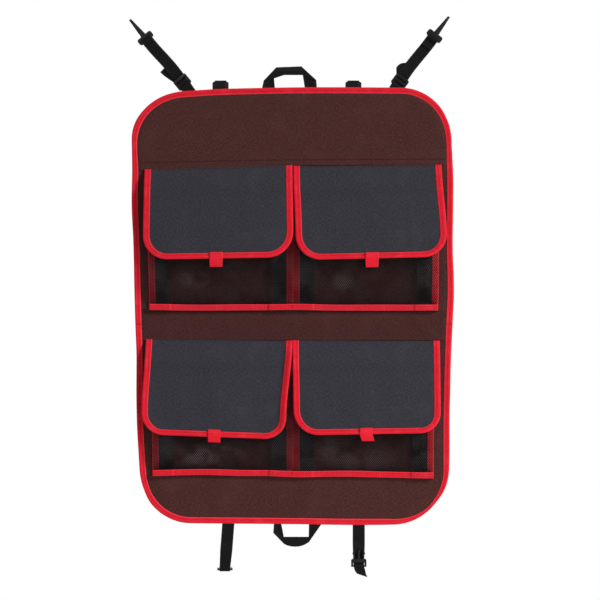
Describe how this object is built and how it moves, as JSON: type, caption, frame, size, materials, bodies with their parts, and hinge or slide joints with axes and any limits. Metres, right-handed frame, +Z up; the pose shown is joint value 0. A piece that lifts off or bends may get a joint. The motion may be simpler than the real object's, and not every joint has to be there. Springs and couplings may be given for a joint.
{
  "type": "tent organizer",
  "caption": "Hanging fabric tent organizer with flap-covered mesh pockets, hook straps, handles and a fold across its middle.",
  "frame": {"origin": "middle of the panel's height and width, on the flat back face of the upper half", "axes": "+X to the viewer's right, +Y out of the back face, +Z up towards the hooks"},
  "size_m": [0.6105, 0.0622, 1.0598],
  "materials": {
    "brown_fabric": "matte",
    "slate_fabric": "matte",
    "red_binding": "matte",
    "black_mesh": "matte",
    "black_webbing": "matte",
    "black_closure": "matte",
    "black_plastic": "satin"
  },
  "bodies": {
    "upper_half": {"back_panel_upper": "brown_fabric", "edge_binding_upper": "red_binding", "header_panel": "brown_fabric", "mesh_pocket_upper_left": "black_mesh", "mesh_pocket_upper_right": "black_mesh", "pocket_hem_upper": "red_binding", "side_tape_upper_left": "red_binding", "side_tape_upper_middle": "red_binding", "side_tape_upper_right": "red_binding", "loop_strip_upper_left": "black_closure", "loop_strip_upper_right": "black_closure", "hanger_anchor_left": "black_webbing", "hanger_anchor_right": "black_webbing", "buckle_loop_left": "black_webbing", "buckle_loop_right": "black_webbing"},
    "spine": {"back_panel_spine": "brown_fabric", "middle_band": "brown_fabric", "edge_binding_spine_left": "red_binding", "edge_binding_spine_right": "red_binding"},
    "lower_half": {"back_panel_lower": "brown_fabric", "edge_binding_lower": "red_binding", "middle_band_hem": "brown_fabric", "mesh_pocket_lower_left": "black_mesh", "mesh_pocket_lower_right": "black_mesh", "pocket_hem_lower": "red_binding", "side_tape_lower_left": "red_binding", "side_tape_lower_middle": "red_binding", "side_tape_lower_right": "red_binding", "loop_strip_lower_left": "black_closure", "loop_strip_lower_right": "black_closure"},
    "flap_upper_left": {"flap_upper_left": "slate_fabric", "flap_binding_upper_left": "red_binding", "pull_tab_upper_left": "red_binding", "hook_strip_upper_left": "black_closure"},
    "flap_upper_right": {"flap_upper_right": "slate_fabric", "flap_binding_upper_right": "red_binding", "pull_tab_upper_right": "red_binding", "hook_strip_upper_right": "black_closure"},
    "flap_lower_left": {"flap_lower_left": "slate_fabric", "flap_binding_lower_left": "red_binding", "pull_tab_lower_left": "red_binding", "hook_strip_lower_left": "black_closure"},
    "flap_lower_right": {"flap_lower_right": "slate_fabric", "flap_binding_lower_right": "red_binding", "pull_tab_lower_right": "red_binding", "hook_strip_lower_right": "black_closure"},
    "top_handle": {"top_handle": "black_webbing"},
    "bottom_handle": {"bottom_handle": "black_webbing"},
    "ladder_lock_left": {"ladder_lock_left": "black_plastic"},
    "hook_strap_left": {"hook_strap_left": "black_webbing"},
    "hanger_hook_left": {"hanger_hook_left": "black_plastic"},
    "ladder_lock_right": {"ladder_lock_right": "black_plastic"},
    "hook_strap_right": {"hook_strap_right": "black_webbing"},
    "hanger_hook_right": {"hanger_hook_right": "black_plastic"},
    "female_buckle_left": {"female_buckle_left": "black_plastic"},
    "female_buckle_right": {"female_buckle_right": "black_plastic"},
    "bottom_strap_left": {"bottom_strap_left": "black_webbing"},
    "male_buckle_left": {"male_buckle_left": "black_plastic"},
    "bottom_strap_right": {"bottom_strap_right": "black_webbing"},
    "male_buckle_right": {"male_buckle_right": "black_plastic"}
  },
  "joints": [
    {"name": "fold_upper", "type": "hinge", "parent": "upper_half", "child": "spine", "pos_m": [0, -0.0048, -0.0105], "axis": [1, 0, 0], "range_deg": [-90, 0]},
    {"name": "fold_lower", "type": "hinge", "parent": "spine", "child": "lower_half", "pos_m": [0, -0.0048, -0.0625], "axis": [1, 0, 0], "range_deg": [-90, 0]},
    {"name": "flap_upper_left_lift", "type": "hinge", "parent": "upper_half", "child": "flap_upper_left", "pos_m": [-0.1405, -0.0058, 0.257], "axis": [-1, 0, 0], "range_deg": [0, 140]},
    {"name": "flap_upper_right_lift", "type": "hinge", "parent": "upper_half", "child": "flap_upper_right", "pos_m": [0.1405, -0.0058, 0.257], "axis": [-1, 0, 0], "range_deg": [0, 140]},
    {"name": "flap_lower_left_lift", "type": "hinge", "parent": "lower_half", "child": "flap_lower_left", "pos_m": [-0.1405, -0.0058, -0.0653], "axis": [-1, 0, 0], "range_deg": [0, 140]},
    {"name": "flap_lower_right_lift", "type": "hinge", "parent": "lower_half", "child": "flap_lower_right", "pos_m": [0.1405, -0.0058, -0.0653], "axis": [-1, 0, 0], "range_deg": [0, 140]},
    {"name": "top_handle_swing", "type": "hinge", "parent": "upper_half", "child": "top_handle", "pos_m": [-0.0066, -0.0018, 0.4115], "axis": [1, 0, 0], "range_deg": [-85, 85]},
    {"name": "bottom_handle_swing", "type": "hinge", "parent": "lower_half", "child": "bottom_handle", "pos_m": [0.0079, -0.0018, -0.4115], "axis": [-1, 0, 0], "range_deg": [-85, 85]},
    {"name": "ladder_lock_left_swing", "type": "hinge", "parent": "upper_half", "child": "ladder_lock_left", "pos_m": [-0.20286, 0.0042, 0.4146], "axis": [0.766, 0, 0.6428], "range_deg": [-70, 20]},
    {"name": "hook_strap_left_swing", "type": "hinge", "parent": "ladder_lock_left", "child": "hook_strap_left", "pos_m": [-0.20851, 0.0042, 0.42134], "axis": [0.766, 0, 0.6428], "range_deg": [-50, 0]},
    {"name": "hanger_hook_left_swing", "type": "hinge", "parent": "hook_strap_left", "child": "hanger_hook_left", "pos_m": [-0.27536, 0.0035, 0.50101], "axis": [0.766, 0, 0.6428], "range_deg": [-65, 65]},
    {"name": "ladder_lock_right_swing", "type": "hinge", "parent": "upper_half", "child": "ladder_lock_right", "pos_m": [0.19611, 0.0042, 0.41479], "axis": [0.7986, 0, -0.6018], "range_deg": [-70, 20]},
    {"name": "hook_strap_right_swing", "type": "hinge", "parent": "ladder_lock_right", "child": "hook_strap_right", "pos_m": [0.20141, 0.0042, 0.42182], "axis": [0.7986, 0, -0.6018], "range_deg": [-50, 0]},
    {"name": "hanger_hook_right_swing", "type": "hinge", "parent": "hook_strap_right", "child": "hanger_hook_right", "pos_m": [0.264, 0.0035, 0.50488], "axis": [0.7986, 0, -0.6018], "range_deg": [-65, 65]},
    {"name": "female_buckle_left_swing", "type": "hinge", "parent": "upper_half", "child": "female_buckle_left", "pos_m": [-0.137, 0.0097, 0.4215], "axis": [1, 0, 0], "range_deg": [0, 180]},
    {"name": "female_buckle_right_swing", "type": "hinge", "parent": "upper_half", "child": "female_buckle_right", "pos_m": [0.114, 0.0097, 0.4215], "axis": [1, 0, 0], "range_deg": [0, 180]},
    {"name": "bottom_strap_left_swing", "type": "hinge", "parent": "lower_half", "child": "bottom_strap_left", "pos_m": [-0.121, -0.0018, -0.411], "axis": [-1, 0, 0], "range_deg": [-85, 85]},
    {"name": "male_buckle_left_swing", "type": "hinge", "parent": "bottom_strap_left", "child": "male_buckle_left", "pos_m": [-0.12861, 0.0014, -0.498], "axis": [1, 0, 0], "range_deg": [-90, 75]},
    {"name": "bottom_strap_right_swing", "type": "hinge", "parent": "lower_half", "child": "bottom_strap_right", "pos_m": [0.124, -0.0018, -0.411], "axis": [-1, 0, 0], "range_deg": [-85, 85]},
    {"name": "male_buckle_right_swing", "type": "hinge", "parent": "bottom_strap_right", "child": "male_buckle_right", "pos_m": [0.124, -0.005, -0.491], "axis": [1, 0, 0], "range_deg": [0, 115]}
  ],
  "couplings": [
    {"joint": "fold_lower", "follows": "fold_upper", "ratio": 1}
  ]
}
